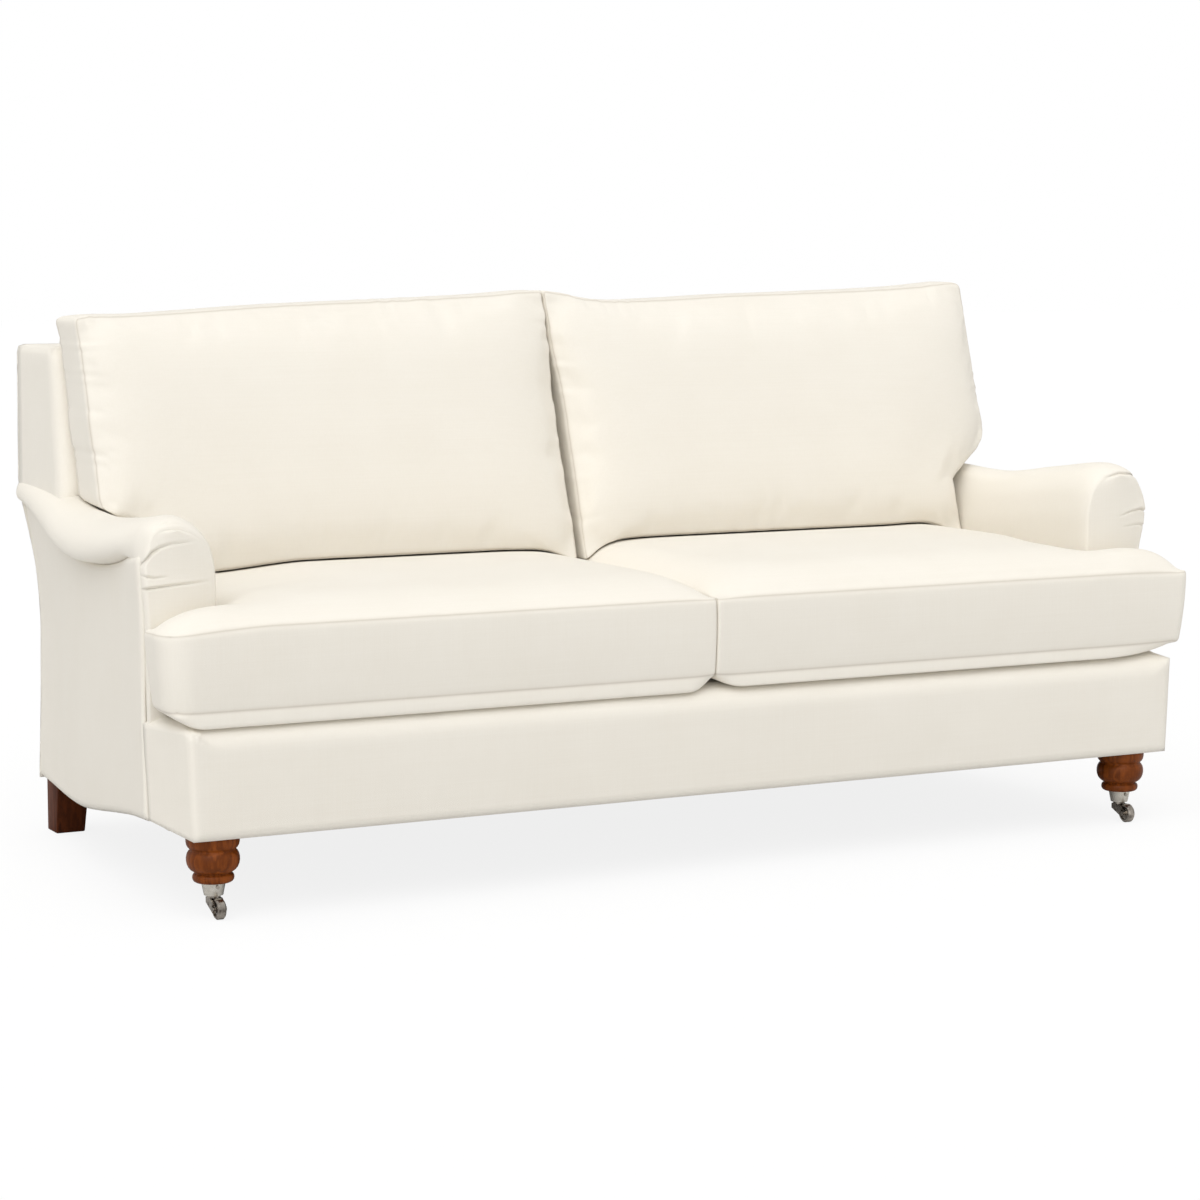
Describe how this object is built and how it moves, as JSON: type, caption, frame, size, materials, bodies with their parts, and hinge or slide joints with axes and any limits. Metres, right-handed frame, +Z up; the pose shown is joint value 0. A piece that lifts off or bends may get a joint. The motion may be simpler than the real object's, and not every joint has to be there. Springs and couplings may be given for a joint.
{
  "type": "rolled arm sofa",
  "caption": "Rolled arm sofa with loose T-shaped seat and back cushions, a plain front box, turned front legs on swivel casters and square tapered rear legs.",
  "frame": {"origin": "centre of the overall box on the floor", "axes": "+X to the sofa's left arm as seated, which is the viewer's right; the front faces -Y; +Z up"},
  "size_m": [1.9876, 0.984, 0.9835],
  "materials": {
    "frame_timber": "bare sawn",
    "leg_wood": "satin stain",
    "rear_leg_wood": "satin stain",
    "upholstery": "plain woven linen",
    "deck_cloth": "plain woven",
    "dust_cloth": "thin cambric",
    "webbing": "jute",
    "cushion_fill": "foam wrapped in wadding",
    "steel": "plain",
    "nickel": "satin nickel",
    "aged_nickel": "aged nickel"
  },
  "bodies": {
    "sofa_frame": {"front_rail": "frame_timber", "back_rail": "frame_timber", "center_brace": "frame_timber", "spring_rail": "frame_timber", "corner_blocks": "frame_timber", "back_top_rail": "frame_timber", "back_slat": "frame_timber", "back_stile": "frame_timber", "side_rail_left": "frame_timber", "side_rail_right": "frame_timber", "arm_post_left": "frame_timber", "arm_post_right": "frame_timber", "arm_rail_left": "frame_timber", "arm_rail_right": "frame_timber", "arm_slat_left": "frame_timber", "arm_slat_right": "frame_timber", "back_post_left": "frame_timber", "back_post_right": "frame_timber", "front_leg_left": "leg_wood", "front_leg_right": "leg_wood", "rear_leg_left": "rear_leg_wood", "rear_leg_right": "rear_leg_wood", "base_border": "upholstery", "back_pad": "upholstery", "outside_back": "upholstery", "arm_pad_left": "upholstery", "arm_pad_right": "upholstery", "outside_arm_left": "upholstery", "outside_arm_right": "upholstery", "seat_deck": "deck_cloth", "dust_cover": "dust_cloth", "back_webbing": "webbing", "seat_springs": "steel", "spring_clips": "steel", "leg_bolts": "steel", "caster_cup_left": "nickel", "caster_cup_right": "nickel", "caster_screws": "nickel"},
    "caster_left": {"caster_fork_left": "aged_nickel", "caster_axle_left": "aged_nickel"},
    "wheel_left": {"caster_wheel_left": "aged_nickel"},
    "seat_cushion_left": {"seat_cover_left": "upholstery", "seat_core_left": "cushion_fill"},
    "back_cushion_left": {"back_cover_left": "upholstery", "back_core_left": "cushion_fill"},
    "caster_right": {"caster_fork_right": "aged_nickel", "caster_axle_right": "aged_nickel"},
    "wheel_right": {"caster_wheel_right": "aged_nickel"},
    "seat_cushion_right": {"seat_cover_right": "upholstery", "seat_core_right": "cushion_fill"},
    "back_cushion_right": {"back_cover_right": "upholstery", "back_core_right": "cushion_fill"}
  },
  "joints": [
    {"name": "caster_swivel_left", "type": "hinge", "parent": "sofa_frame", "child": "caster_left", "pos_m": [-0.896, -0.435, 0.036], "axis": [0, 0, 1], "continuous": true},
    {"name": "wheel_spin_left", "type": "hinge", "parent": "caster_left", "child": "wheel_left", "pos_m": [-0.896, -0.459, 0.017], "axis": [1, 0, 0], "continuous": true},
    {"name": "seat_cushion_slide_left", "type": "slide", "parent": "sofa_frame", "child": "seat_cushion_left", "axis": [0, -1, 0], "range_m": [0, 0.65]},
    {"name": "back_cushion_lift_left", "type": "slide", "parent": "sofa_frame", "child": "back_cushion_left", "axis": [0, 0, 1], "range_m": [0, 0.5]},
    {"name": "caster_swivel_right", "type": "hinge", "parent": "sofa_frame", "child": "caster_right", "pos_m": [0.896, -0.435, 0.036], "axis": [0, 0, 1], "continuous": true},
    {"name": "wheel_spin_right", "type": "hinge", "parent": "caster_right", "child": "wheel_right", "pos_m": [0.896, -0.459, 0.017], "axis": [1, 0, 0], "continuous": true},
    {"name": "seat_cushion_slide_right", "type": "slide", "parent": "sofa_frame", "child": "seat_cushion_right", "axis": [0, -1, 0], "range_m": [0, 0.65]},
    {"name": "back_cushion_lift_right", "type": "slide", "parent": "sofa_frame", "child": "back_cushion_right", "axis": [0, 0, 1], "range_m": [0, 0.5]}
  ]
}
